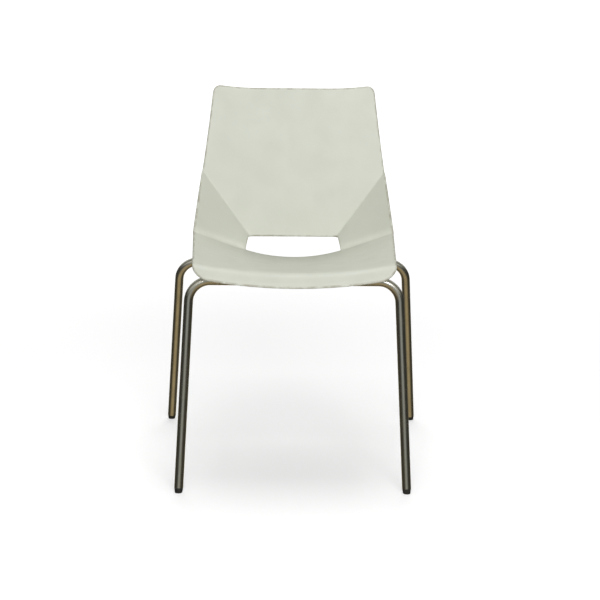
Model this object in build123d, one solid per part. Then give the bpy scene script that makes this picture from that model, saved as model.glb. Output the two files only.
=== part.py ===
from build123d import *
import math
import os

# Stacking chair: a one-piece polypropylene shell on a bent steel tube frame.
# Millimetres. +Z up, the sitter faces -Y, the chair mirrors about X = 0.
# The floor is Z = 0 and the origin is the middle of the footprint.

# Overall sizes
front_cross_height = 446.0    # axis of the front cross tube, which carries the seat
seat_half_width = 211.5       # at the crest, where the waterfall begins
seat_depth = 298.0            # crest to the front edge of the slot
back_height = 326.0           # top edge above the top of the slot, over its level middle
seat_crest_y = -172.0

# Shell
shell_wall = 5.0
tube_to_shell = 1.5           # room between the front cross tube and the sheet
seat_pitch = 7.2              # degrees, seat falls to the rear
dish_front = 0.00045          # rise per mm of width squared at the crest
dish_rear = 0.00140           # the same at the slot
lip_taper = 2.0               # each side narrows this much from the crest to the lip
fold_flare = 10.0             # each side widens this much to the wing's lower fold
wing_taper = 14.0             # then narrows this much up the wing
back_taper = 25.0             # and this much up the back
waterfall_radius = 50.0
waterfall_end_angle = 57.5    # degrees below level at the lip
front_corner_radius = 33.0
back_top_corner_rise = 8.0
back_top_flat_half = 75.0     # the top edge is level this far each side
back_recline = 16.0           # degrees from upright
back_hollow = 0.00012         # depth per mm of width squared
top_corner_radius = 16.0

# Slot between seat and back, with the wings at its two ends
slot_rise = 38.2              # top of the slot above its lowest front edge
slot_depth = 39.2             # top edge behind the front edge
slot_top_half_width = 99.0
slot_flare = 8.0              # each side is this much wider at the bottom corner
slot_corner_rise = 21.0       # height over which it widens
slot_corner_radius = 5.0
slot_fold_drop = 24.0         # the upper fold levels out this far below the slot top
wing_fold_sweep = 0.0034      # how fast the lower fold runs forward past the slot
wing_rise = 144.0             # upper wing fold at the edge, above the slot top
seat_fold_radius = 14.0
wing_fold_radius = 16.0

# Tube frames
leg_tube_diameter = 19.0
leg_tube_wall = 1.5
leg_bend_radius = 45.0
front_cross_lead = 14.5       # front cross tube ahead of the crest
front_leg_overhang = 5.5      # bend's corner outside the seat edge
front_foot_lean = 53.5        # foot ahead of the cross tube
front_foot_splay = 23.5       # foot outside the bend's corner
rear_cross_lag = 33.0         # rear cross tube behind the front edge of the slot
rear_cross_drop = 42.0        # and below the front one
rear_leg_overhang = 35.0      # bend's corner outside the widest seat edge
rear_foot_lean = 82.0
rear_foot_splay = 28.5

# Side rails and seat mounting
rail_diameter = 16.0
rail_wall = 1.5
rail_offset = 110.0
weld_gap = 0.2
weld_throat = 3.0
weld_length = 5.0
tab_length = 34.0
tab_thickness = 3.0
tab_corner_radius = 5.0
tab_inset = 28.0              # screw axis inboard of the rail axis
tab_overhang = 6.0            # tab past the rail axis, outboard
tab_end = 12.0                # tab past the screw axis, inboard
tab_front_setback = 92.0      # screws from the front cross tube, along the rail
tab_rear_setback = 86.0       # and from the rear cross tube
boss_wall = 6.7
boss_draft = 3.0              # degrees

# Fasteners
screw_diameter = 6.0
screw_hole_clearance = 1.0
screw_head_rim = 2.5
screw_head_height = 3.3
screw_socket_width = 4.0
screw_socket_depth = 2.0
screw_engagement = 4.5
washer_rim = 1.5
washer_thickness = 1.2
insert_wall = 1.15
insert_length = 6.0
insert_relief = 1.5           # pocket past the insert for the screw end
thread_clearance = 0.15
insert_clearance = 0.05

# Foot glides
glide_height = 10.5
glide_taper = 2.25            # the plug narrows this much each side to the floor
glide_stem_length = 22.0
glide_stem_clearance = 0.15
floor_cut = 3.0               # the glide runs this far past the floor before it is cut flat

# Places that follow from the sizes above
leg_radius = leg_tube_diameter / 2
rail_radius = rail_diameter / 2
pitch_slope = math.tan(math.radians(seat_pitch))
recline_slope = math.tan(math.radians(back_recline))
seat_crest_height = front_cross_height + leg_radius + tube_to_shell + shell_wall
seat_rear_y = seat_crest_y + seat_depth
lip_half_width = seat_half_width - lip_taper
fold_half_width = seat_half_width + fold_flare
wing_half_width = fold_half_width - wing_taper
top_half_width = wing_half_width - back_taper
slot_top_height = seat_crest_height - pitch_slope * seat_depth + slot_rise
slot_top_y = seat_rear_y + slot_depth
slot_bottom_half_width = slot_top_half_width + slot_flare
wing_fold_top = slot_top_height + wing_rise
back_top_height = slot_top_height + back_height
front_cross_y = seat_crest_y - front_cross_lead
front_cross_half = seat_half_width + front_leg_overhang
front_foot_y = front_cross_y - front_foot_lean
front_foot_half = front_cross_half + front_foot_splay
rear_cross_height = front_cross_height - rear_cross_drop
rear_cross_y = seat_rear_y + rear_cross_lag
rear_cross_half = fold_half_width + rear_leg_overhang
rear_foot_y = rear_cross_y + rear_foot_lean
rear_foot_half = rear_cross_half + rear_foot_splay
rail_length = math.hypot(rear_cross_drop, rear_cross_y - front_cross_y)
tab_width = tab_overhang + tab_inset + tab_end
screw_head_diameter = screw_diameter + 2 * screw_head_rim
washer_diameter = screw_head_diameter + 2 * washer_rim
insert_diameter = screw_diameter + 2 * (thread_clearance + insert_wall)
boss_diameter = insert_diameter + 2 * boss_wall


def blend(start, end, share):
    """Point or number a given share of the way from start to end."""
    return start + (end - start) * share


def dish_at(y):
    return blend(dish_front, dish_rear, (y - seat_crest_y) / seat_depth)


def seat_height(x, y):
    # Straight fall to the rear plus a dish that deepens toward the slot.
    middle = seat_crest_height - pitch_slope * (y - seat_crest_y)
    return middle + dish_at(y) * x * x


def back_depth(x, z):
    # Reclined plane, hollowed a little across its width.
    return slot_top_y + recline_slope * (z - slot_top_height) - back_hollow * x * x


def top_height(x):
    past = max(0.0, abs(x) - back_top_flat_half)
    span = top_half_width - back_top_flat_half
    return back_top_height + back_top_corner_rise * (past / span) ** 2


def seat_fold_place(x):
    # The fold lies along the slot, then sweeps forward to the edge.
    past = max(0.0, abs(x) - slot_bottom_half_width)
    y = seat_rear_y - wing_fold_sweep * past ** 2
    return Vector(x, y, seat_height(x, y))


def wing_fold_place(x):
    # A straight fold that climbs from the slot's upper corner to the edge
    # and levels out inside the slot, where it is cut away.
    climb = (wing_fold_top - slot_top_height) / (wing_half_width - slot_top_half_width)
    low = slot_top_height - slot_fold_drop
    z = slot_top_height + climb * (abs(x) - slot_top_half_width)
    z = (z + low + math.hypot(z - low, slot_fold_drop / 2)) / 2
    return Vector(x, back_depth(x, z), z)


def waterfall_place(x, share, radius):
    """Point on the arc that runs from the crest (share 0) to the lip (share 1)."""
    rate = (dish_rear - dish_front) / seat_depth
    pitch = math.atan(pitch_slope - rate * x * x)
    crest = Vector(x, seat_crest_y, seat_height(x, seat_crest_y))
    seat_up = Vector(0, math.sin(pitch), math.cos(pitch))
    forward = Vector(0, -math.cos(pitch), math.sin(pitch))
    turn = share * (pitch + math.radians(waterfall_end_angle))
    centre = crest - seat_up * waterfall_radius
    return centre + (seat_up * math.cos(turn) + forward * math.sin(turn)) * radius


def section_face(x):
    """Closed outline of the sheet in the plane at this x, seating face first."""

    def lip(share, radius):
        return waterfall_place(x, share, radius)

    crest = lip(0, waterfall_radius)
    inner = waterfall_radius - shell_wall
    seat_fold = seat_fold_place(x)
    wing_fold = wing_fold_place(x)
    top_z = back_top_height + 3 * back_top_corner_rise
    top = Vector(x, back_depth(x, top_z), top_z)
    seat_way = (seat_fold - crest).normalized()
    wing_way = (wing_fold - seat_fold).normalized()
    back_way = (top - wing_fold).normalized()
    seat_blend = fold_arcs(seat_fold, seat_way, wing_way, seat_fold_radius)
    wing_blend = fold_arcs(wing_fold, wing_way, back_way, wing_fold_radius)
    top_under = top - upright(back_way) * shell_wall
    upper = [ThreePointArc(lip(1, waterfall_radius), lip(0.5, waterfall_radius), crest)]
    lower = [ThreePointArc(lip(1, inner), lip(0.5, inner), lip(0, inner))]
    for edges, arcs, finish in ((upper, 0, top), (lower, 1, top_under)):
        for blended in (seat_blend, wing_blend):
            edges.append(Line(edges[-1] @ 1, blended[arcs][0]))
            edges.append(ThreePointArc(*blended[arcs]))
        edges.append(Line(edges[-1] @ 1, finish))
    ends = [Line(top, top_under), Line(lip(1, waterfall_radius), lip(1, inner))]
    return Wire(upper + lower + ends)


def upright(way):
    # Normal of a line in the side view, on the sitter's side.
    return Vector(0, -way.Z, way.Y)


def fold_arcs(corner, before, after, radius):
    """Arc on the seating face, and its partner one wall below."""
    half = before.get_angle(after) / 2
    reach = radius * math.tan(math.radians(half))
    centre = corner - before * reach + upright(before) * radius
    toward = (corner - centre).normalized()
    ways = (upright(before) * -1, toward, upright(after) * -1)
    return [[centre + way * size for way in ways] for size in (radius, radius + shell_wall)]


def outside_corner(radius, fall):
    """What lies outside a round corner between an upright side and an end that
    falls away inward at this many radians, with the sharp corner at the origin."""
    reach = radius / math.tan(math.pi / 4 + fall / 2)
    side = Vector(0, reach)
    end = Vector(-math.cos(fall), -math.sin(fall)) * reach
    centre = Vector(-radius, reach)
    middle = centre - centre.normalized() * radius
    spare = 2 * radius
    outer = Polyline(end, (end.X, -spare), (spare, -spare), (spare, side.Y), side)
    return make_face(outer.edges() + ThreePointArc(side, middle, end).edges())


def seat_outline():
    # Seen from above: the seat widens from the lip to the wing fold.
    fold = seat_fold_place(fold_half_width)
    line = [(lip_half_width, seat_crest_y - waterfall_radius), (seat_half_width, seat_crest_y)]
    line = [(lip_half_width, -400)] + line + [(fold_half_width, fold.Y), (fold_half_width, 400)]
    line = line + [(-x, y) for x, y in reversed(line)]
    return extrude(Plane.XY * make_face(Polyline(*line, close=True)), 1000)


def back_outline():
    # Seen from the front: the wings and the back narrow to the top.
    fold = seat_fold_place(fold_half_width)
    corner = back_top_height + back_top_corner_rise
    wide = fold_half_width + 60
    sides = [(top_half_width, corner), (wing_half_width, wing_fold_top)]
    sides += [(fold_half_width, fold.Z), (wide, fold.Z), (wide, 0)]
    flat = (back_top_flat_half, back_top_height)
    edges = Line((-flat[0], flat[1]), flat).edges()
    for hand in (1, -1):
        rise = TangentArc((hand * flat[0], flat[1]), (hand * top_half_width, corner), tangent=(hand, 0))
        edges += rise.edges()
    edges += Polyline(*sides, *[(-x, z) for x, z in reversed(sides)]).edges()
    flat_face = make_face(edges)
    tops = flat_face.vertices().filter_by(lambda v: abs(v.Y - corner) < 0.01)
    flat_face = fillet(tops, top_corner_radius)
    return extrude(Plane.XZ.offset(-500) * flat_face, 1000)


def slot_tool():
    low = slot_top_height - 3 * slot_corner_rise
    wide = slot_top_half_width + 3 * slot_flare
    line = [(slot_top_half_width, slot_top_height), (wide, low)]
    line = line + [(-x, z) for x, z in reversed(line)]
    flat_face = make_face(Polyline(*line, close=True))
    tops = flat_face.vertices().group_by(Axis.Y)[-1]
    flat_face = fillet(tops, slot_corner_radius)
    return extrude(Plane.XZ.offset(-seat_rear_y) * flat_face, -400)


def lip_corner_tools():
    # The corner is round as seen square to the middle of the waterfall.
    tilt = math.radians(waterfall_end_angle / 2)
    corner = waterfall_place(lip_half_width, 1, waterfall_radius)
    inboard = waterfall_place(lip_half_width - front_corner_radius, 1, waterfall_radius)
    plane = Plane(corner, x_dir=(1, 0, 0), z_dir=(0, -math.sin(tilt), math.cos(tilt)))
    run = plane.to_local_coords(inboard)
    patch = outside_corner(front_corner_radius, math.atan2(run.Y, run.X) + math.pi)
    tool = extrude(plane * patch, front_corner_radius, both=True)
    return [tool, mirrored(tool)]


def rail_plane():
    """Right rail's axis at the front cross tube: Y runs down the rail, Z squarely up."""
    slope = math.atan2(rear_cross_drop, rear_cross_y - front_cross_y)
    up = (0, math.sin(slope), math.cos(slope))
    origin = (rail_offset, front_cross_y, front_cross_height)
    return Plane(origin=origin, x_dir=(1, 0, 0), z_dir=up)


def screw_plane(along):
    """Right-hand screw axis where it leaves the top of the mounting tab."""
    top = rail_radius + weld_gap + tab_thickness
    plane = rail_plane()
    spot = plane.from_local_coords(Vector(-tab_inset, along, top))
    return Plane(origin=spot, x_dir=plane.x_dir, z_dir=plane.z_dir)


def mirrored(solid):
    return mirror(solid, about=Plane.YZ)


def boss(plane):
    # A drafted post that stops halfway through the wall of the sheet.
    spot = plane.origin
    for _ in range(6):
        rise = seat_height(spot.X, spot.Y) - spot.Z
        spot = spot + plane.z_dir * rise
    rate = (dish_rear - dish_front) / seat_depth
    across = 2 * dish_at(spot.Y) * spot.X
    along = -pitch_slope + rate * spot.X ** 2
    normal = Vector(-across, -along, 1).normalized()
    height = (spot - plane.origin).length + shell_wall
    wide = boss_diameter / 2 + height * math.tan(math.radians(boss_draft))
    post = plane * (Pos(0, 0, height / 2) * Cone(boss_diameter / 2, wide, height))
    cut = Plane(origin=spot - normal * (shell_wall / 2), z_dir=normal)
    return split(post, bisect_by=cut, keep=Keep.BOTTOM)


def insert_pocket(plane):
    depth = insert_length + insert_relief
    radius = insert_diameter / 2 + insert_clearance
    return plane * (Pos(0, 0, depth / 2) * Cylinder(radius, depth))


def seat_shell():
    half = fold_half_width + 4
    count = 30
    places = [half * (2 * step / count - 1) for step in range(count + 1)]
    sheet = Solid.make_loft([section_face(x) for x in places])
    sheet = sheet & seat_outline() & back_outline()
    sheet = sheet - slot_tool()
    for tool in lip_corner_tools():
        sheet = sheet - tool
    for along in tabs.values():
        post = boss(screw_plane(along))
        pocket = insert_pocket(screw_plane(along))
        sheet = sheet + post + mirrored(post) - pocket - mirrored(pocket)
    return sheet


def leg_frame(foot_half, foot_y, cross_half, cross_y, cross_height):
    """U of round tube: two splayed legs and the cross tube between them."""
    foot = Vector(foot_half, foot_y, 0)
    corner = Vector(cross_half, cross_y, cross_height)
    start = foot + (corner - foot).normalized() * glide_height
    points = [start, corner] + [Vector(-p.X, p.Y, p.Z) for p in (corner, start)]
    path = FilletPolyline(*points, radius=leg_bend_radius)
    ring = Circle(leg_radius) - Circle(leg_radius - leg_tube_wall)
    return sweep(Plane(origin=start, z_dir=corner - start) * ring, path=path)


def foot_glide(foot_half, foot_y, cross_half, cross_y, cross_height):
    # Tapered nylon plug cut flat at the floor, with a stem up the tube.
    foot = Vector(foot_half, foot_y, 0)
    plane = Plane(origin=foot, z_dir=Vector(cross_half, cross_y, cross_height) - foot)
    tall = glide_height + floor_cut
    head = Pos(0, 0, tall / 2 - floor_cut) * Cone(leg_radius - glide_taper, leg_radius, tall)
    stem_radius = leg_radius - leg_tube_wall - glide_stem_clearance
    stem = Pos(0, 0, glide_height + glide_stem_length / 2)
    plug = head + stem * Cylinder(stem_radius, glide_stem_length)
    return split(plane * plug, bisect_by=Plane.XY, keep=Keep.TOP)


def cross_bar(y, height, radius):
    turned = Plane(origin=(0, y, height), z_dir=(1, 0, 0))
    return turned * Cylinder(radius, 2 * rail_offset + 60)


def side_rail():
    """Tube between the two cross tubes, coped to them, with its weld collars."""
    collar = leg_radius + weld_length
    wide = rail_radius + weld_throat
    plane = rail_plane()
    axis = Plane(origin=plane.origin, z_dir=plane.y_dir)
    tube = Pos(0, 0, rail_length / 2) * Cylinder(rail_radius, rail_length)
    tube = tube + Pos(0, 0, collar / 2) * Cone(wide, rail_radius, collar)
    tube = tube + Pos(0, 0, rail_length - collar / 2) * Cone(rail_radius, wide, collar)
    bore = Cylinder(rail_radius - rail_wall, rail_length + 2)
    tube = tube - Pos(0, 0, rail_length / 2) * bore
    rail = axis * tube
    reach = leg_radius + weld_gap
    rail = rail - cross_bar(front_cross_y, front_cross_height, reach)
    return rail - cross_bar(rear_cross_y, rear_cross_height, reach)


def mount_tab(along):
    # Flat plate on top of the rail that reaches inboard to the screw.
    middle = tab_inset + tab_overhang - tab_width / 2
    flat_face = Pos(middle, 0) * RectangleRounded(tab_width, tab_length, tab_corner_radius)
    flat_face = flat_face - Circle((screw_diameter + screw_hole_clearance) / 2)
    return extrude(screw_plane(along) * flat_face, -tab_thickness)


def thread_insert(along):
    sleeve = Circle(insert_diameter / 2) - Circle(screw_diameter / 2 + thread_clearance)
    return extrude(screw_plane(along) * sleeve, insert_length)


def washer(along):
    plane = screw_plane(along)
    ring = Circle(washer_diameter / 2) - Circle((screw_diameter + screw_hole_clearance) / 2)
    return extrude(plane.offset(-tab_thickness) * ring, -washer_thickness)


def screw(along):
    """Socket button screw, head down under the tab."""
    grip = tab_thickness + washer_thickness
    length = grip + screw_engagement
    shank = Pos(0, 0, length / 2) * Cylinder(screw_diameter / 2, length)
    head = Pos(0, 0, -screw_head_height / 2)
    head = head * Cylinder(screw_head_diameter / 2, screw_head_height)
    head = fillet(head.edges().filter_by(GeomType.CIRCLE).sort_by(Axis.Z)[0], screw_head_height / 2)
    socket = extrude(RegularPolygon(screw_socket_width / math.sqrt(3), 6), screw_socket_depth)
    made = shank + head - Pos(0, 0, -screw_head_height) * socket
    return screw_plane(along).offset(-grip) * made


tabs = {"front": tab_front_setback, "rear": rail_length - tab_rear_setback}
front_leg = (front_foot_half, front_foot_y, front_cross_half, front_cross_y, front_cross_height)
rear_leg = (rear_foot_half, rear_foot_y, rear_cross_half, rear_cross_y, rear_cross_height)

right_hand = {"side_rail": side_rail()}
for end, leg in (("front", front_leg), ("rear", rear_leg)):
    right_hand["mount_tab_" + end] = mount_tab(tabs[end])
    right_hand["thread_insert_" + end] = thread_insert(tabs[end])
    right_hand["washer_" + end] = washer(tabs[end])
    right_hand["screw_" + end] = screw(tabs[end])
    right_hand["foot_glide_" + end] = foot_glide(*leg)

nodes = {"seat_shell": seat_shell()}
nodes["front_leg_frame"] = leg_frame(*front_leg)
nodes["rear_leg_frame"] = leg_frame(*rear_leg)
for name, solid in right_hand.items():
    nodes[name + "_right"] = solid
    nodes[name + "_left"] = mirrored(solid)

# The frame's Y = 0 is the middle of the whole chair's depth.
box = Compound(list(nodes.values())).bounding_box()
to_middle = Pos(0, -(box.min.Y + box.max.Y) / 2, 0)
os.makedirs("parts", exist_ok=True)
for name, solid in nodes.items():
    export_step(to_middle * solid, "parts/" + name + ".step")
print(len(nodes), "nodes", box.size, "shift", to_middle.position)
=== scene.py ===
# Stacking chair: a moulded shell on a bent tube frame. Everything is in metres, floor at Z = 0.
import math
import bpy
import numpy as np
from mathutils import Matrix, Vector


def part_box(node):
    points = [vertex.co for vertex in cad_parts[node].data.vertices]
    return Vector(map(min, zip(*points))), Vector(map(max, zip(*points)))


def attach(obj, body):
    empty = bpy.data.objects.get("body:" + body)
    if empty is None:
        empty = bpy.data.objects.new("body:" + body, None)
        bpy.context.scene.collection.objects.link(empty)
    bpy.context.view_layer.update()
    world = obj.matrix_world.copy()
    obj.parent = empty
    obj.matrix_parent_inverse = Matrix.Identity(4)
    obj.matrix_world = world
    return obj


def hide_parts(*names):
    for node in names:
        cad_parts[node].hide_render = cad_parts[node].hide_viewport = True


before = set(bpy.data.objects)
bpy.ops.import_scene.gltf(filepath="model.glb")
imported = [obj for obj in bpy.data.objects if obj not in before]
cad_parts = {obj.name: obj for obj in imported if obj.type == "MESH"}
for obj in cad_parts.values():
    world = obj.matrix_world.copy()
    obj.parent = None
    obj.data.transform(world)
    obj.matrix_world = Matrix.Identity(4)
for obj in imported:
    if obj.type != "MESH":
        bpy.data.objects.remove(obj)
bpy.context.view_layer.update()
mm = 0.001
print("stage: frame loaded", len(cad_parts), "nodes")

cameraSetup = {
    "place": (-0.0393, -3.4535, 1.2635),
    "turn": 0.0157,      # radians to the right of straight ahead
    "tip": 0.2573,       # radians down
    "roll": 0.0106,      # radians clockwise
    "lens": 97.43,
    "sensor": 36.0,
}


def makeCamera(setup):
    turn, tip, roll = setup["turn"], setup["tip"], setup["roll"]
    level = math.cos(tip)
    ahead = Vector((math.sin(turn) * level, math.cos(turn) * level, -math.sin(tip)))
    right = Vector((math.cos(turn), -math.sin(turn), 0))
    up = right.cross(ahead)
    rolledRight = right * math.cos(roll) + up * math.sin(roll)
    rolledUp = up * math.cos(roll) - right * math.sin(roll)
    data = bpy.data.cameras.new("camera")
    data.lens = setup["lens"]
    data.sensor_width = setup["sensor"]
    data.clip_end = 100
    camera = bpy.data.objects.new("camera", data)
    bpy.context.scene.collection.objects.link(camera)
    axes = Matrix((rolledRight, rolledUp, -ahead)).transposed().to_4x4()
    camera.matrix_world = Matrix.Translation(setup["place"]) @ axes
    bpy.context.scene.camera = camera


makeCamera(cameraSetup)
print("stage: camera")

# Sizes in millimetres, measured from the same places as the frame's own parts.
shell = {
    "shift": -7.84839,        # Y of the drawing's zero in the frame
    "crestY": -172.0, "crestZ": 462.0, "depth": 298.0, "pitch": 7.2,
    "dishFront": 0.00045, "dishRear": 0.00140,
    "lipHalf": 209.5, "seatHalf": 211.5, "foldHalf": 221.5,
    "wingHalf": 207.5, "topHalf": 182.5,
    "fallRadius": 50.0, "fallAngle": 57.5, "lipCorner": 33.0,
    "topZ": 788.55, "topRise": 8.0, "topFlat": 75.0, "topCorner": 16.0,
    "recline": 16.0, "hollow": 0.00012,
    "slotTopY": 165.2, "slotTopZ": 462.55, "slotHalf": 99.0, "slotFlare": 8.0,
    "slotCorner": 4.0, "slotRise": 22.0,
    "foldDrop": 24.0, "sweep": 0.0034, "wingRise": 144.0, "sideRun": 197.0,
    "seatFold": 14.0, "wingFold": 16.0,
    "wall": 5.0, "rim": 2.2,
    "lipRun": 50.0, "seatRun": 300.0, "wingRun": 43.0, "backRun": 330.0,   # rough row lengths
    "easeRows": 12,           # rows over which the columns leave the slot's corner
    "columns": 128, "slotShare": 0.46, "rimSteps": 5,
    "rimFade": 14.0, "foldStart": 2.0, "foldFade": 13.0,    # reach of the rim mark (grime with painted shade) and of the fold's painted highlight
}
beyond = 99.0                 # a distance past every corner, where nothing is rounded


def seatZ(x, y):
    # Straight fall to the rear plus a dish that deepens toward the slot.
    p = shell
    slope = math.tan(math.radians(p["pitch"]))
    dish = p["dishFront"] + (p["dishRear"] - p["dishFront"]) * (y - p["crestY"]) / p["depth"]
    return p["crestZ"] - slope * (y - p["crestY"]) + dish * x * x


def profileKeys(x):
    # For each x: the corners of the side view, their directions and the running lengths.
    p = shell
    slope = math.tan(math.radians(p["pitch"]))
    rate = (p["dishRear"] - p["dishFront"]) / p["depth"]
    back = math.tan(math.radians(p["recline"]))
    k = {"pitch": np.arctan(slope - rate * x * x)}
    k["crest"] = (np.full_like(x, p["crestY"]), seatZ(x, p["crestY"]))
    past = np.maximum(0, np.abs(x) - p["slotHalf"] - p["slotFlare"])
    seatY = p["crestY"] + p["depth"] - p["sweep"] * past ** 2
    k["seat"] = (seatY, seatZ(x, seatY))
    low = p["slotTopZ"] - p["foldDrop"]
    climb = p["wingRise"] / (p["wingHalf"] - p["slotHalf"])
    z = p["slotTopZ"] + climb * (np.abs(x) - p["slotHalf"])
    z = (z + low + np.hypot(z - low, p["foldDrop"] / 2)) / 2
    k["wing"] = (p["slotTopY"] + back * (z - p["slotTopZ"]) - p["hollow"] * x * x, z)
    k["a0"] = -k["pitch"]
    dy, dz = k["wing"][0] - k["seat"][0], k["wing"][1] - k["seat"][1]
    k["a1"] = np.arctan2(dz, dy)
    k["a2"] = np.full_like(x, math.pi / 2 - math.radians(p["recline"]))
    reach1 = p["seatFold"] * np.tan((k["a1"] - k["a0"]) / 2)
    reach2 = p["wingFold"] * np.tan((k["a2"] - k["a1"]) / 2)
    k["reach1"], k["reach2"] = reach1, reach2
    seatRun = np.hypot(k["seat"][0] - k["crest"][0], k["seat"][1] - k["crest"][1])
    k["s0"] = p["fallRadius"] * (k["pitch"] + math.radians(p["fallAngle"]))
    k["s1"] = k["s0"] + seatRun - reach1
    k["s2"] = k["s1"] + p["seatFold"] * (k["a1"] - k["a0"])
    k["s3"] = k["s2"] + np.hypot(dy, dz) - reach1 - reach2
    k["s4"] = k["s3"] + p["wingFold"] * (k["a2"] - k["a1"])
    k["backZ"] = k["wing"][1] + reach2 * np.sin(k["a2"])
    return k


def profilePoint(x, s):
    # Point and heading at running length s in the upright plane at x: front arc of
    # fallRadius, seat line, fold arc, wing line, fold arc, back line.
    p = shell
    k = profileKeys(x)
    turn = np.clip((k["s0"] - s) / p["fallRadius"], 0, None)
    cy = k["crest"][0] - p["fallRadius"] * np.sin(k["pitch"])
    cz = k["crest"][1] - p["fallRadius"] * np.cos(k["pitch"])
    y0 = cy - p["fallRadius"] * np.sin(turn - k["pitch"])
    z0 = cz + p["fallRadius"] * np.cos(turn - k["pitch"])
    run = s - k["s0"]
    y1, z1 = k["crest"][0] + run * np.cos(k["a0"]), k["crest"][1] + run * np.sin(k["a0"])

    def bend(corner, reach, start, finish, radius, begun):
        heading = start + np.clip((s - begun) / radius, 0, finish - start)
        ty, tz = corner[0] - reach * np.cos(start), corner[1] - reach * np.sin(start)
        cy, cz = ty - radius * np.sin(start), tz + radius * np.cos(start)
        return cy + radius * np.sin(heading), cz - radius * np.cos(heading), heading

    y2, z2, h2 = bend(k["seat"], k["reach1"], k["a0"], k["a1"], p["seatFold"], k["s1"])
    run = s - k["s2"] + k["reach1"]
    y3, z3 = k["seat"][0] + run * np.cos(k["a1"]), k["seat"][1] + run * np.sin(k["a1"])
    y4, z4, h4 = bend(k["wing"], k["reach2"], k["a1"], k["a2"], p["wingFold"], k["s3"])
    run = s - k["s4"] + k["reach2"]
    y5, z5 = k["wing"][0] + run * np.cos(k["a2"]), k["wing"][1] + run * np.sin(k["a2"])
    where = [s < k["s0"], s < k["s1"], s < k["s2"], s < k["s3"], s < k["s4"]]
    y = np.select(where, [y0, y1, y2, y3, y4], y5)
    z = np.select(where, [z0, z1, z2, z3, z4], z5)
    heading = np.select(where, [k["a0"] + turn, k["a0"], h2, k["a1"], h4], k["a2"])
    return y, z, heading


def topZ(x):
    p = shell
    past = np.maximum(0, np.abs(x) - p["topFlat"]) / (p["topHalf"] - p["topFlat"])
    return p["topZ"] + p["topRise"] * past ** 2


def roundOff(distance, radius):
    # How much narrower a round corner is at this distance from the end.
    d = np.clip(distance, 0, radius)
    return radius - np.sqrt(np.clip(radius ** 2 - (radius - d) ** 2, 0, None))


def shellRows(edge):
    # One entry per row: which stretch it is on and its share of it. The rows crowd
    # where the sheet turns and by every edge.
    p = shell
    quarter = np.linspace(0, math.pi / 2, 11)
    corner = p["lipCorner"] - edge
    lip = np.concatenate([(1 - np.cos(quarter)) * corner / p["lipRun"],
                          np.linspace(0.66, 1, 6)[:-1]])
    fold = 1 - np.array([9, 7.7, 6.4, 5.1, 3.8, edge, 1.25]) / p["seatRun"]
    seat = np.concatenate([np.linspace(0, 0.955, 34), fold])
    wing = (1 - np.cos(np.linspace(0, math.pi, 30)[:-1])) / 2
    start = np.array([0, 1.25, edge, 3.8, 5.1, 6.4, 7.7, 9, 12]) / p["backRun"]
    corner = p["topCorner"] - edge
    finish = 1 - (1 - np.cos(quarter[::-1])) * corner / p["sideRun"]
    back = np.concatenate([start, np.linspace(0.05, finish[0], 46)[:-1], finish])
    rows = [(i, t) for i, ts in enumerate((lip, seat, wing, back)) for t in ts]
    part = np.array([r[0] for r in rows])
    share = np.array([r[1] for r in rows])
    low = len(lip) + len(seat) - 2       # the slot's lower edge row
    high = len(lip) + len(seat) + len(wing) + 2
    return part, share, low, high


def shellGrid(edge):
    # Seating face as a grid over (row, column), inset from its outline by the rim
    # radius. x is stretched so that one column runs up each side of the slot.
    p = shell
    part, share, low, high = shellRows(edge)
    halves = [(p["lipHalf"], p["seatHalf"]), (p["seatHalf"], p["foldHalf"]),
              (p["foldHalf"], p["wingHalf"]), (p["wingHalf"], p["topHalf"])]
    begin = np.array([h[0] for h in halves])[part]
    end = np.array([h[1] for h in halves])[part]
    half = begin + (end - begin) * share - edge
    lipCut = roundOff(share * p["lipRun"], p["lipCorner"] - edge)
    topCut = roundOff((1 - share) * p["sideRun"], p["topCorner"] - edge)
    half -= np.where(part == 0, lipCut, 0)
    half -= np.where(part == 3, topCut, 0)
    wide = p["slotHalf"] + p["slotFlare"]
    rowZ = np.array([0, 0, 0, 1.0])[part] + np.where(part == 2, share, 0)
    slot = wide + (p["slotHalf"] - wide) * rowZ + edge
    index = np.arange(len(part))
    onWing = edge + share * p["wingRun"] * (part == 2) + beyond * (part == 3)
    aboveLow = np.where(part == 1, edge - (1 - share) * p["seatRun"], onWing)
    onBack = np.where(part == 3, edge - share * p["backRun"], beyond)
    belowHigh = np.where(part == 2, (1 - share) * p["slotRise"] + edge, onBack)
    inside = (index >= low) & (index <= high)
    highRound = p["slotCorner"] + edge
    lowRound = highRound - 1
    cut = roundOff(aboveLow, lowRound) + roundOff(belowHigh, highRound)
    slot -= np.where(inside, cut, 0)
    away = np.where(index < low, low - index, index - high)
    relax = np.clip(away / p["easeRows"], 0, 1)
    ends = np.where(index < low, lowRound, highRound)
    slot -= np.where(inside, 0, ends * (1 - relax) ** 2)
    u = np.linspace(-1, 1, p["columns"] + 1)
    left = int(np.argmin(np.abs(u + p["slotShare"])))
    right = p["columns"] - left
    slotAt = u[right]
    across = np.abs(u)[None, :]
    inner = across / slotAt * slot[:, None]
    outer = slot[:, None] + (across - slotAt) / (1 - slotAt) * (half - slot)[:, None]
    x = np.where(across <= slotAt, inner, outer) * np.sign(u)[None, :]
    k = profileKeys(x)
    slotS = k["s4"] + (p["slotTopZ"] - k["backZ"]) / np.sin(k["a2"])
    key = [np.full_like(x, edge), k["s0"], (k["s1"] + k["s2"]) / 2,
           np.maximum((k["s3"] + k["s4"]) / 2, slotS),
           k["s4"] + (topZ(x) - k["backZ"]) / np.sin(k["a2"]) - edge]
    stretch = part[:, None] + np.zeros_like(x, dtype=int)
    first = np.choose(stretch, key[:4])
    last = np.choose(stretch, key[1:])
    s = first + (last - first) * share[:, None]
    return x, s, low, high, left, right


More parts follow.
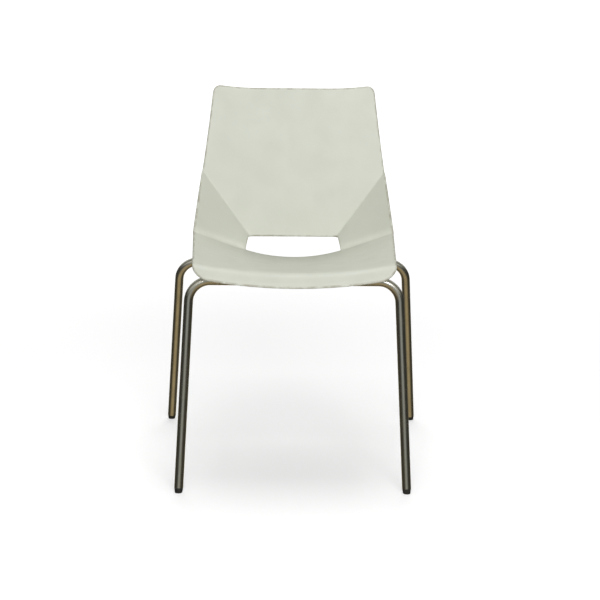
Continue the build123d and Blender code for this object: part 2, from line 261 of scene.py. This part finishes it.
def shellSurface(x, s):
    # Position and normal of the seating face. The normal is the cross product of
    # the slopes across and along the sheet.
    y, z, heading = profilePoint(x, s)
    step = 0.05               # millimetres either side, for the slope across
    ya, za, _ = profilePoint(x - step, s)
    yb, zb, _ = profilePoint(x + step, s)
    across = np.stack([np.full_like(x, 2 * step), yb - ya, zb - za], -1)
    along = np.stack([np.zeros_like(x), np.cos(heading), np.sin(heading)], -1)
    normal = np.cross(across, along)
    normal /= np.linalg.norm(normal, axis=-1, keepdims=True)
    return np.stack([x, y + shell["shift"], z], -1), normal


def buildMesh(name, points, quads, attributes=None):
    # Points in millimetres to a smooth mesh in metres, with one float attribute per entry.
    mesh = bpy.data.meshes.new(name)
    mesh.from_pydata((np.asarray(points) * mm).tolist(), [], [list(f) for f in quads])
    mesh.update()
    mesh.polygons.foreach_set("use_smooth", np.ones(len(mesh.polygons), bool))
    for key, values in (attributes or {}).items():
        layer = mesh.attributes.new(key, "FLOAT", "POINT")
        layer.data.foreach_set("value", np.asarray(values, np.float32))
    piece = bpy.data.objects.new(name, mesh)
    bpy.context.scene.collection.objects.link(piece)
    return piece


def strip(first, second):
    # Quads between two closed rings of vertex numbers.
    return np.stack([first, np.roll(first, -1), np.roll(second, -1), second], -1)


def makeShell(p):
    # Seating face, the same face lowered by the wall along its normals, and a
    # rounded rim carried round the outline and round the slot.
    r, wall = p["rim"], p["wall"]
    x, s, low, high, left, right = shellGrid(r)
    top, normal = shellSurface(x, s)
    rows, cols = x.shape
    number = np.arange(rows * cols).reshape(rows, cols)
    a, b = number[:-1, :-1], number[:-1, 1:]
    c, d = number[1:, 1:], number[1:, :-1]
    i, j = np.meshgrid(np.arange(rows - 1), np.arange(cols - 1), indexing="ij")
    keep = ~((i >= low) & (i < high) & (j >= left) & (j < right))
    quads = np.stack([a, b, c, d], -1)[keep]
    top, normal = top.reshape(-1, 3), normal.reshape(-1, 3)
    under = top - wall * normal
    outer = np.concatenate([number[0, :-1], number[:-1, -1],
                            number[-1, :0:-1], number[:0:-1, 0]])
    slot = np.concatenate([number[low, right:left:-1], number[low:high, left],
                           number[high, left:right], number[high:low:-1, right]])
    points = [top, under]
    faces = [quads, (quads + len(top))[:, ::-1]]
    near = [np.zeros(len(top)), np.zeros(len(top))]
    total = 2 * len(top)
    for ring in (outer, slot):
        along = top[np.roll(ring, -1)] - top[np.roll(ring, 1)]
        out = np.cross(along, normal[ring])
        out /= np.linalg.norm(out, axis=1, keepdims=True)
        turns = np.linspace(0, math.pi / 2, p["rimSteps"] + 1)
        reach = np.concatenate([r * np.sin(turns[1:]), r * np.cos(turns[:-1])])
        depth = np.concatenate([r * (1 - np.cos(turns[1:])),
                                wall - r + r * np.sin(turns[:-1])])
        previous = ring
        for step in range(len(reach)):
            points.append(top[ring] + out * reach[step] - normal[ring] * depth[step])
            near.append(np.ones(len(ring)))
            following = total + np.arange(len(ring))
            faces.append(strip(previous, following)[:, ::-1])
            previous = following
            total += len(ring)
        faces.append(strip(previous, ring + len(top))[:, ::-1])
    points, faces = np.concatenate(points), np.concatenate(faces)
    # How near a point is to the outline or the slot, 1 at the rim, 0 from rimFade in.
    near = np.concatenate(near)
    rimPoints = top[np.concatenate([outer, slot])]
    seen = points[: len(top)]
    gap = np.full(len(seen), 1e9)
    for piece in np.array_split(rimPoints, 12):
        apart = np.sqrt(((seen[:, None] - piece[None]) ** 2).sum(-1))
        gap = np.minimum(gap, apart.min(1))
    fade = np.clip(1 - gap / p["rimFade"], 0, 1)
    near[: len(top)] = near[len(top): 2 * len(top)] = fade
    # Mask for a painted highlight along the seat's fold: 1 round its arc, fast to 0 on the seat, slowly
    # up the wing.
    k = profileKeys(x)
    begun = np.clip((s - k["s1"]) / p["foldStart"], 0, 1)
    ended = np.clip(1 - (s - k["s2"]) / p["foldFade"], 0, 1)
    fold = np.zeros(len(points))
    fold[: len(top)] = (begun * ended).reshape(-1)
    used = np.zeros(len(points), bool)
    used[faces.reshape(-1)] = True
    renumber = np.cumsum(used) - 1
    return buildMesh("seat_shell_moulding", points[used], renumber[faces],
                     {"rimNear": near[used], "foldHighlightMask": fold[used]})


moulding = makeShell(shell)
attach(moulding, "root")
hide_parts("seat_shell")
print("stage: shell", len(moulding.data.polygons), "faces")

# The four posts under the seat take the screws. Millimetres and degrees.
post = {
    "tilt": 6.93,                # degrees, the rails' fall to the rear
    "foot": 11.0, "draft": 3.0, "flare": 4.5,
    "hole": 4.35, "holeDepth": 7.5, "insertLength": 6.0,
    "round": 0.7, "chamfer": 0.35, "holeRound": 0.3,
    "sink": 2.0,                 # how far the top closes inside the sheet
    "sheet": 1.02,               # the underside's depth as a share of the wall
    "sides": 72,
}


def postProfile(p, height):
    # From the middle of the hole out, round the foot, up the drafted side and into
    # the sheet by a quarter round. height is the run up to the sheet's underside.
    turn = np.linspace(0, math.pi / 2, 6)
    flareTurn = np.linspace(0, math.pi / 2, 9)
    wide = p["foot"] + height * math.tan(math.radians(p["draft"]))
    radii = [[0.0, p["hole"] - p["holeRound"], p["hole"]], [p["hole"], p["hole"] + p["chamfer"]],
             p["foot"] - p["round"] * (1 - np.sin(turn)),
             wide + p["flare"] * (1 - np.cos(flareTurn)), [wide + p["flare"], 0.0]]
    deep = p["holeDepth"]
    lift = [[deep, deep, deep - p["holeRound"]], [p["chamfer"], 0.0],
            p["round"] * (1 - np.cos(turn)),
            height - p["flare"] * (1 - np.sin(flareTurn)), [height + p["sink"]] * 2]
    follow = [np.zeros(3), np.zeros(2), np.zeros(len(turn)),
              np.ones(len(flareTurn)), np.ones(2)]
    return np.concatenate(radii), np.concatenate(lift), np.concatenate(follow)


def makePost(name, insertNode, p):
    # The profile turned about the screw's axis. The rows marked follow rise or fall
    # with the sheet's underside above each point.
    lo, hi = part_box(insertNode)
    centre = np.array((lo + hi) / 2) / mm
    tilt = math.radians(p["tilt"])
    axis = np.array([0, math.sin(tilt), math.cos(tilt)])
    side, ahead = np.array([1.0, 0, 0]), np.array([0, math.cos(tilt), -math.sin(tilt)])
    base = centre - axis * p["insertLength"] / 2

    def clearance(q):
        above = seatZ(q[..., 0], q[..., 1] - shell["shift"]) - shell["wall"] * p["sheet"]
        return (above - q[..., 2]) * axis[2]

    height = float(clearance(base))
    radius, lift, follow = postProfile(p, height)
    angle = np.linspace(0, 2 * math.pi, p["sides"], endpoint=False)
    around = np.cos(angle)[:, None] * side + np.sin(angle)[:, None] * ahead
    flat = base + radius[:, None, None] * around[None]
    extra = clearance(flat) - height
    points = flat + (lift[:, None] + extra * follow[:, None])[..., None] * axis
    points = points.reshape(-1, 3)
    rings = np.arange(len(points)).reshape(len(radius), -1)
    quads = np.concatenate([strip(rings[k], rings[k + 1]) for k in range(len(rings) - 1)])
    piece = buildMesh(name, points, quads)
    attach(piece, "root")
    return piece


posts = [makePost("seat_post_" + where, "thread_insert_" + where, post)
         for where in ("front_left", "front_right", "rear_left", "rear_right")]
print("stage: posts")


def addNode(tree, kind, **settings):
    node = tree.nodes.new(kind)
    for key, value in settings.items():
        setattr(node, key, value)
    return node


def makeGroup(name, inputs, outputs):
    group = bpy.data.node_groups.new(name, "ShaderNodeTree")
    for label, value in inputs:
        socket = group.interface.new_socket(label, in_out="INPUT", socket_type="NodeSocketFloat")
        socket.default_value = value
    for label in outputs:
        group.interface.new_socket(label, in_out="OUTPUT", socket_type="NodeSocketFloat")
    return group, group.nodes.new("NodeGroupInput"), group.nodes.new("NodeGroupOutput")


def math2(tree, operation, a, b, clamp=False):
    node = tree.nodes.new("ShaderNodeMath")
    node.operation = operation
    node.use_clamp = clamp
    for socket, value in ((node.inputs[0], a), (node.inputs[1], b)):
        if isinstance(value, (int, float)):
            socket.default_value = value
        else:
            tree.links.new(value, socket)
    return node.outputs[0]


def spread(tree, value, fromLow, fromHigh, toLow=0.0, toHigh=1.0):
    node = tree.nodes.new("ShaderNodeMapRange")
    node.interpolation_type = "SMOOTHSTEP"
    tree.links.new(value, node.inputs["Value"])
    ends = {"From Min": fromLow, "From Max": fromHigh, "To Min": toLow, "To Max": toHigh}
    for label, amount in ends.items():
        if isinstance(amount, (int, float)):
            node.inputs[label].default_value = amount
        else:
            tree.links.new(amount, node.inputs[label])
    return node.outputs["Result"]


def objectPoint(tree, stretch=(1, 1, 1)):
    coords = tree.nodes.new("ShaderNodeTexCoord")
    mapping = tree.nodes.new("ShaderNodeMapping")
    mapping.inputs["Scale"].default_value = stretch
    tree.links.new(coords.outputs["Object"], mapping.inputs["Vector"])
    return mapping.outputs["Vector"]


def noise(tree, vector, scale, detail=3.0, rough=0.55):
    node = tree.nodes.new("ShaderNodeTexNoise")
    tree.links.new(vector, node.inputs["Vector"])
    if isinstance(scale, (int, float)):
        node.inputs["Scale"].default_value = scale
    else:
        tree.links.new(scale, node.inputs["Scale"])
    node.inputs["Detail"].default_value = detail
    node.inputs["Roughness"].default_value = rough
    return node.outputs["Fac"]


def makeEdgeWear():
    # How far a face turns from the same face with its edges rounded, broken up by noise.
    inputs = [("Reach", 0.0012), ("Scale", 90.0), ("Amount", 1.0)]
    group, entry, leave = makeGroup("edgeWear", inputs, ["Mask"])
    bevel = addNode(group, "ShaderNodeBevel", samples=6)
    group.links.new(entry.outputs["Reach"], bevel.inputs["Radius"])
    geometry = group.nodes.new("ShaderNodeNewGeometry")
    dot = addNode(group, "ShaderNodeVectorMath", operation="DOT_PRODUCT")
    group.links.new(bevel.outputs[0], dot.inputs[0])
    group.links.new(geometry.outputs["Normal"], dot.inputs[1])
    edge = spread(group, dot.outputs["Value"], 0.99, 0.80)
    broken = spread(group, noise(group, objectPoint(group), entry.outputs["Scale"]), 0.35, 0.65)
    mask = math2(group, "MULTIPLY", edge, broken)
    mask = math2(group, "MULTIPLY", mask, entry.outputs["Amount"], True)
    group.links.new(mask, leave.inputs["Mask"])
    return group


def makeDust():
    # Settles where a face looks up, in soft patches of two sizes.
    group, entry, leave = makeGroup("dust", [("Scale", 30.0), ("Amount", 0.3)], ["Mask"])
    geometry = group.nodes.new("ShaderNodeNewGeometry")
    parts = group.nodes.new("ShaderNodeSeparateXYZ")
    group.links.new(geometry.outputs["Normal"], parts.inputs[0])
    up = spread(group, parts.outputs["Z"], 0.2, 0.95)
    patch = spread(group, noise(group, objectPoint(group), entry.outputs["Scale"], 5.0), 0.4, 0.7)
    speck = spread(group, noise(group, objectPoint(group), 1400.0, 1.0), 0.62, 0.72)
    both = math2(group, "ADD", patch, math2(group, "MULTIPLY", speck, 0.5), True)
    mask = math2(group, "MULTIPLY", up, both)
    mask = math2(group, "MULTIPLY", mask, entry.outputs["Amount"], True)
    group.links.new(mask, leave.inputs["Mask"])
    return group


def makeGrain():
    # Fine moulded or blasted texture: two noises and a field of small pits.
    group, entry, leave = makeGroup("grain", [("Scale", 1800.0), ("Pits", 0.3)], ["Height"])
    point = objectPoint(group)
    fine = noise(group, point, entry.outputs["Scale"], 2.0)
    wide = noise(group, point, math2(group, "MULTIPLY", entry.outputs["Scale"], 0.22), 2.0)
    pits = group.nodes.new("ShaderNodeTexVoronoi")
    group.links.new(point, pits.inputs["Vector"])
    group.links.new(math2(group, "MULTIPLY", entry.outputs["Scale"], 0.6), pits.inputs["Scale"])
    hollow = spread(group, pits.outputs["Distance"], 0.0, 0.5)
    hollow = math2(group, "MULTIPLY", hollow, entry.outputs["Pits"])
    fine = math2(group, "MULTIPLY", fine, 0.6)
    total = math2(group, "ADD", fine, math2(group, "MULTIPLY", wide, 0.4))
    group.links.new(math2(group, "ADD", total, hollow), leave.inputs["Height"])
    return group


def makeScratches():
    # Thin broken lines: noise stretched hard along one direction, cut at its crest.
    group, entry, leave = makeGroup("scratches", [("Amount", 0.3)], ["Mask"])
    lines = []
    for stretch in ((26, 900, 900), (900, 40, 700)):
        band = noise(group, objectPoint(group, stretch), 1.0, 2.0)
        crest = math2(group, "ABSOLUTE", math2(group, "SUBTRACT", band, 0.5), 0)
        lines.append(spread(group, crest, 0.006, 0.0))
    where = spread(group, noise(group, objectPoint(group), 14.0), 0.55, 0.72)
    both = math2(group, "MAXIMUM", lines[0], lines[1])
    mask = math2(group, "MULTIPLY", both, where)
    mask = math2(group, "MULTIPLY", mask, entry.outputs["Amount"], True)
    group.links.new(mask, leave.inputs["Mask"])
    return group


groups = {"wear": makeEdgeWear(), "dust": makeDust(),
          "grain": makeGrain(), "scratches": makeScratches()}


def useGroup(tree, name, **values):
    node = tree.nodes.new("ShaderNodeGroup")
    node.node_tree = groups[name]
    for key, value in values.items():
        node.inputs[key].default_value = value
    return node.outputs[0]


def mixColour(tree, factor, a, b):
    # a and b are colours or colour sockets.
    node = tree.nodes.new("ShaderNodeMix")
    node.data_type = "RGBA"
    if isinstance(factor, (int, float)):
        node.inputs["Factor"].default_value = factor
    else:
        tree.links.new(factor, node.inputs["Factor"])
    colours = [s for s in node.inputs if s.type == "RGBA"]
    for socket, value in zip(colours, (a, b)):
        if isinstance(value, tuple):
            socket.default_value = (*value, 1.0)
        else:
            tree.links.new(value, socket)
    return [s for s in node.outputs if s.type == "RGBA"][0]


def newMaterial(name):
    material = bpy.data.materials.new(name)
    material.use_nodes = True
    tree = material.node_tree
    shader = tree.nodes["Principled BSDF"]
    return material, tree, shader


def setBump(tree, shader, height, strength, distance):
    bump = tree.nodes.new("ShaderNodeBump")
    bump.inputs["Strength"].default_value = strength
    bump.inputs["Distance"].default_value = distance
    tree.links.new(height, bump.inputs["Height"])
    tree.links.new(bump.outputs["Normal"], shader.inputs["Normal"])


def attribute(tree, name):
    node = tree.nodes.new("ShaderNodeAttribute")
    node.attribute_name = name
    return node.outputs["Fac"]


shellFinish = {
    "white": (0.700, 0.720, 0.620), "cooler": (0.686, 0.708, 0.612),
    # The rim colour is partly handling grime and partly painted shade, with a painted brownish
    # reflection along the edges.
    "rimGrimeAndShadeColour": (0.350, 0.325, 0.240), "dust": (0.50, 0.49, 0.44),
    # The fold colour is a painted highlight, lighter than the plastic, standing for the sheen along the
    # seat's fold.
    "foldHighlightColour": (0.86, 0.875, 0.77), "scratched": (0.80, 0.80, 0.74),
    "rimGrimeAndShadeAmount": 0.70, "foldHighlightAmount": 0.62, "scratching": 0.30, "dusting": 0.10,
    "rough": 0.40, "grain": 1500.0, "grainDepth": 0.00004,
}


def makeShellMaterial(f):
    material, tree, shader = newMaterial("mouldedShellPlastic")
    point = objectPoint(tree)
    mottle = spread(tree, noise(tree, point, 7.0, 4.0), 0.35, 0.68)
    colour = mixColour(tree, mottle, f["white"], f["cooler"])
    broken = spread(tree, noise(tree, point, 60.0, 4.0), 0.3, 0.7)
    # Darker, browner rim: partly handling grime, partly painted shade and a painted brownish reflection
    # along the edges and under the lip.
    rim = math2(tree, "MULTIPLY", spread(tree, attribute(tree, "rimNear"), 0.80, 1.0), broken)
    colour = mixColour(tree, math2(tree, "MULTIPLY", rim, f["rimGrimeAndShadeAmount"]), colour, f["rimGrimeAndShadeColour"])
    # Lighter band round the seat's fold: a painted highlight.
    uneven = spread(tree, broken, 0.0, 1.0, 0.75, 1.0)
    fold = math2(tree, "MULTIPLY", attribute(tree, "foldHighlightMask"), uneven)
    colour = mixColour(tree, math2(tree, "MULTIPLY", fold, f["foldHighlightAmount"]), colour, f["foldHighlightColour"])
    colour = mixColour(tree, useGroup(tree, "dust", Scale=26.0, Amount=f["dusting"]), colour, f["dust"])
    lines = useGroup(tree, "scratches", Amount=0.35)
    colour = mixColour(tree, math2(tree, "MULTIPLY", lines, f["scratching"]), colour, f["scratched"])
    tree.links.new(colour, shader.inputs["Base Color"])
    rough = spread(tree, noise(tree, point, 22.0, 5.0), 0.25, 0.75, f["rough"] - 0.05, f["rough"] + 0.07)
    rough = math2(tree, "SUBTRACT", rough, math2(tree, "MULTIPLY", rim, 0.10))
    rough = math2(tree, "ADD", rough, math2(tree, "MULTIPLY", lines, 0.15), True)
    tree.links.new(rough, shader.inputs["Roughness"])
    grain = useGroup(tree, "grain", Scale=f["grain"], Pits=0.25)
    height = math2(tree, "SUBTRACT", grain, math2(tree, "MULTIPLY", lines, 0.6))
    setBump(tree, shader, height, 0.35, f["grainDepth"])
    shader.inputs["IOR"].default_value = 1.49
    shader.inputs["Specular IOR Level"].default_value = 0.42
    return material


def makeMetal(name, f):
    # Metal or nylon: drawn lines along f["along"], cloudy dulling, worn edges and dust.
    material, tree, shader = newMaterial(name)
    point = objectPoint(tree)
    cloud = spread(tree, noise(tree, point, f["cloud"], 5.0), 0.32, 0.70)
    colour = mixColour(tree, cloud, f["bright"], f["dull"])
    fine = noise(tree, objectPoint(tree, f["along"]), 1.0, 3.0)
    colour = mixColour(tree, spread(tree, fine, 0.55, 0.8, 0.0, 0.35), colour, f["line"])
    spots = spread(tree, noise(tree, point, 260.0, 2.0), 0.70, 0.78)
    colour = mixColour(tree, math2(tree, "MULTIPLY", spots, f["spots"]), colour, f["spotColour"])
    edge = useGroup(tree, "wear", Reach=f["edge"], Scale=120.0, Amount=0.8)
    colour = mixColour(tree, edge, colour, f["bare"])
    dust = useGroup(tree, "dust", Scale=60.0, Amount=f["dust"])
    colour = mixColour(tree, dust, colour, (0.33, 0.31, 0.27))
    tree.links.new(colour, shader.inputs["Base Color"])
    metal = math2(tree, "SUBTRACT", f["metal"], math2(tree, "MULTIPLY", dust, 0.8), True)
    tree.links.new(metal, shader.inputs["Metallic"])
    rough = spread(tree, cloud, 0.0, 1.0, f["rough"], f["rough"] + 0.09)
    rough = math2(tree, "ADD", rough, math2(tree, "MULTIPLY", fine, 0.05))
    rough = math2(tree, "ADD", rough, math2(tree, "MULTIPLY", edge, 0.12))
    rough = math2(tree, "ADD", rough, math2(tree, "MULTIPLY", dust, 0.35), True)
    tree.links.new(rough, shader.inputs["Roughness"])
    grain = useGroup(tree, "grain", Scale=f["grain"], Pits=0.1)
    height = math2(tree, "ADD", fine, math2(tree, "MULTIPLY", grain, 0.5))
    setBump(tree, shader, height, f["bump"], 0.00003)
    return material


tubeFinish = {
    "bright": (0.78, 0.765, 0.715), "dull": (0.68, 0.665, 0.605), "line": (0.52, 0.50, 0.44),
    "spotColour": (0.12, 0.10, 0.07), "spots": 0.5, "bare": (0.55, 0.52, 0.44),
    "cloud": 30.0, "along": (1400, 1400, 30), "edge": 0.0008, "dust": 0.25,
    "metal": 1.0, "rough": 0.16, "grain": 2200.0, "bump": 0.15,
}
fastenerFinish = {
    "bright": (0.60, 0.60, 0.58), "dull": (0.44, 0.45, 0.45), "line": (0.32, 0.32, 0.32),
    "spotColour": (0.20, 0.17, 0.12), "spots": 0.35, "bare": (0.70, 0.69, 0.66),
    "cloud": 220.0, "along": (700, 2600, 2600), "edge": 0.0005, "dust": 0.15,
    "metal": 1.0, "rough": 0.28, "grain": 3200.0, "bump": 0.3,
}
insertFinish = {
    "bright": (0.75, 0.56, 0.26), "dull": (0.55, 0.39, 0.17), "line": (0.40, 0.27, 0.11),
    "spotColour": (0.16, 0.12, 0.05), "spots": 0.4, "bare": (0.85, 0.68, 0.36),
    "cloud": 260.0, "along": (2600, 2600, 600), "edge": 0.0004, "dust": 0.05,
    "metal": 1.0, "rough": 0.26, "grain": 3400.0, "bump": 0.3,
}
glideFinish = {
    "bright": (0.018, 0.018, 0.017), "dull": (0.030, 0.029, 0.027), "line": (0.050, 0.048, 0.044),
    "spotColour": (0.09, 0.085, 0.075), "spots": 0.6, "bare": (0.11, 0.105, 0.095),
    "cloud": 160.0, "along": (900, 900, 900), "edge": 0.0007, "dust": 0.30,
    "metal": 0.0, "rough": 0.48, "grain": 2400.0, "bump": 0.5,
}

materials = {
    "shell": makeShellMaterial(shellFinish),
    "tube": makeMetal("satinPlatedTube", tubeFinish),
    "rail": makeMetal("satinPlatedRail", {**tubeFinish, "along": (1400, 30, 1400)}),
    "fastener": makeMetal("zincFastener", fastenerFinish),
    "insert": makeMetal("brassInsert", insertFinish),
    "glide": makeMetal("blackNylonGlide", glideFinish),
}


def paint(piece, material):
    mesh = piece.data
    if not mesh.materials:
        mesh.materials.append(material)
    for index in range(len(mesh.materials)):
        mesh.materials[index] = material


finishes = {"leg_frame": "tube", "side_rail": "rail", "mount_tab": "rail",
            "thread_insert": "insert", "washer": "fastener", "screw": "fastener",
            "foot_glide": "glide"}
for name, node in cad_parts.items():
    for word, finish in finishes.items():
        if word in name:
            paint(node, materials[finish])
for piece in [moulding, *posts]:
    paint(piece, materials["shell"])
print("stage: materials")

room = {
    "floorHalf": 60.0, "floorGrey": 0.55, "floorDrop": 0.0002,
    "floorGlow": 0.44, "floorFar": 1.0, "glowReach": (0.7, 3.5),
    "dome": 1.08, "domeSides": 0.0,
    # Tones that shiny things see, and the directions between which they change.
    "gloss": {"low": (0.360, 0.285, 0.155), "lowSides": (0.045, 0.038, 0.020),
              "level": (0.030, 0.031, 0.026), "high": (0.55, 0.55, 0.48),
              "side": (0.040, 0.038, 0.030), "streak": (0.27, 0.28, 0.262)},
    "bandEdge": (0.12, 0.50), "streakEdge": (0.10, 0.78), "lowSideEdge": (0.20, 0.98),
    "lowEdge": (-0.08, -0.48), "highEdge": (0.12, 0.5), "sideEdge": (0.0, 0.62),
}
lamps = {
    "frontBox": {"place": (0.3, -2.6, 2.2), "aim": (0, 0, 0.5),
                 "size": (1.8, 1.8), "power": 51.0},
    "rearBox": {"place": (0.0, 1.3, 2.7), "aim": (0, 0, 0.5),
                "size": (1.4, 0.8), "power": 12.5},
    "floorBox": {"place": (0.05, 0.0, 2.6), "aim": (0, 0, 0),
                 "size": (1.1, 1.1), "power": 27.0, "floorOnly": True},
}


def makeFloor(f):
    half = f["floorHalf"]
    mesh = bpy.data.meshes.new("floor")
    corners = [(-half, -half, 0), (half, -half, 0), (half, half, 0), (-half, half, 0)]
    mesh.from_pydata(corners, [], [(0, 1, 2, 3)])
    floor = bpy.data.objects.new("floor", mesh)
    bpy.context.scene.collection.objects.link(floor)
    floor.location.z = -f["floorDrop"]
    floor.visible_glossy = False     # shiny things see the room's own tones instead
    material, tree, shader = newMaterial("paleFloor")
    grey = f["floorGrey"]
    shader.inputs["Base Color"].default_value = (grey, grey, grey, 1)
    shader.inputs["Roughness"].default_value = 0.9
    shader.inputs["Specular IOR Level"].default_value = 0.1
    path = tree.nodes.new("ShaderNodeLightPath")
    shader.inputs["Emission Color"].default_value = (1, 1, 1, 1)
    length = addNode(tree, "ShaderNodeVectorMath", operation="LENGTH")
    tree.links.new(objectPoint(tree), length.inputs[0])
    glow = spread(tree, length.outputs["Value"], *f["glowReach"], f["floorGlow"], f["floorFar"])
    glow = math2(tree, "MULTIPLY", path.outputs["Is Camera Ray"], glow)
    tree.links.new(glow, shader.inputs["Emission Strength"])
    mesh.materials.append(material)
    return floor


def makeLamp(name, f, floor):
    data = bpy.data.lights.new(name, "AREA")
    data.shape = "RECTANGLE"
    data.size, data.size_y = f["size"]
    data.energy = f["power"]
    lamp = bpy.data.objects.new(name, data)
    bpy.context.scene.collection.objects.link(lamp)
    lamp.location = f["place"]
    way = Vector(f["aim"]) - Vector(f["place"])
    lamp.rotation_euler = way.to_track_quat("-Z", "Y").to_euler()
    if f.get("floorOnly"):           # lights the floor alone, and the chair shades it
        lit = bpy.data.collections.new("litByFloorBox")
        lit.objects.link(floor)
        lamp.light_linking.receiver_collection = lit


def makeWorld(f):
    # A soft band of light from front to back overhead, dim at both sides. Shiny
    # things see a studio instead: warm low down, a pale strip level in front and
    # behind, and dark at both sides.
    world = bpy.data.worlds.new("room")
    bpy.context.scene.world = world
    world.use_nodes = True
    tree = world.node_tree
    back = tree.nodes["Background"]
    path = tree.nodes.new("ShaderNodeLightPath")
    coords = tree.nodes.new("ShaderNodeTexCoord")
    parts = tree.nodes.new("ShaderNodeSeparateXYZ")
    tree.links.new(coords.outputs["Generated"], parts.inputs[0])
    aside = math2(tree, "ABSOLUTE", parts.outputs["X"], 0)
    band = spread(tree, aside, *f["bandEdge"], f["dome"], f["domeSides"])
    soft = mixColour(tree, band, (0.0, 0.0, 0.0), (1.0, 1.0, 1.0))
    gloss = f["gloss"]
    streak = spread(tree, aside, *f["streakEdge"], 1.0, 0.0)
    level = mixColour(tree, streak, gloss["level"], gloss["streak"])
    low = mixColour(tree, spread(tree, aside, *f["lowSideEdge"]), gloss["low"], gloss["lowSides"])
    height = parts.outputs["Z"]
    front = mixColour(tree, spread(tree, height, *f["lowEdge"]), level, low)
    front = mixColour(tree, spread(tree, height, *f["highEdge"]), front, gloss["high"])
    facing = math2(tree, "ABSOLUTE", parts.outputs["Y"], 0)
    shiny = mixColour(tree, spread(tree, facing, *f["sideEdge"]), gloss["side"], front)
    colour = mixColour(tree, path.outputs["Is Glossy Ray"], soft, shiny)
    colour = mixColour(tree, path.outputs["Is Camera Ray"], colour, (1.0, 1.0, 1.0))
    tree.links.new(colour, back.inputs["Color"])


floor = makeFloor(room)
for name, setup in lamps.items():
    makeLamp(name, setup, floor)
makeWorld(room)
bpy.context.scene.view_settings.view_transform = "Standard"
print("stage: room and light")
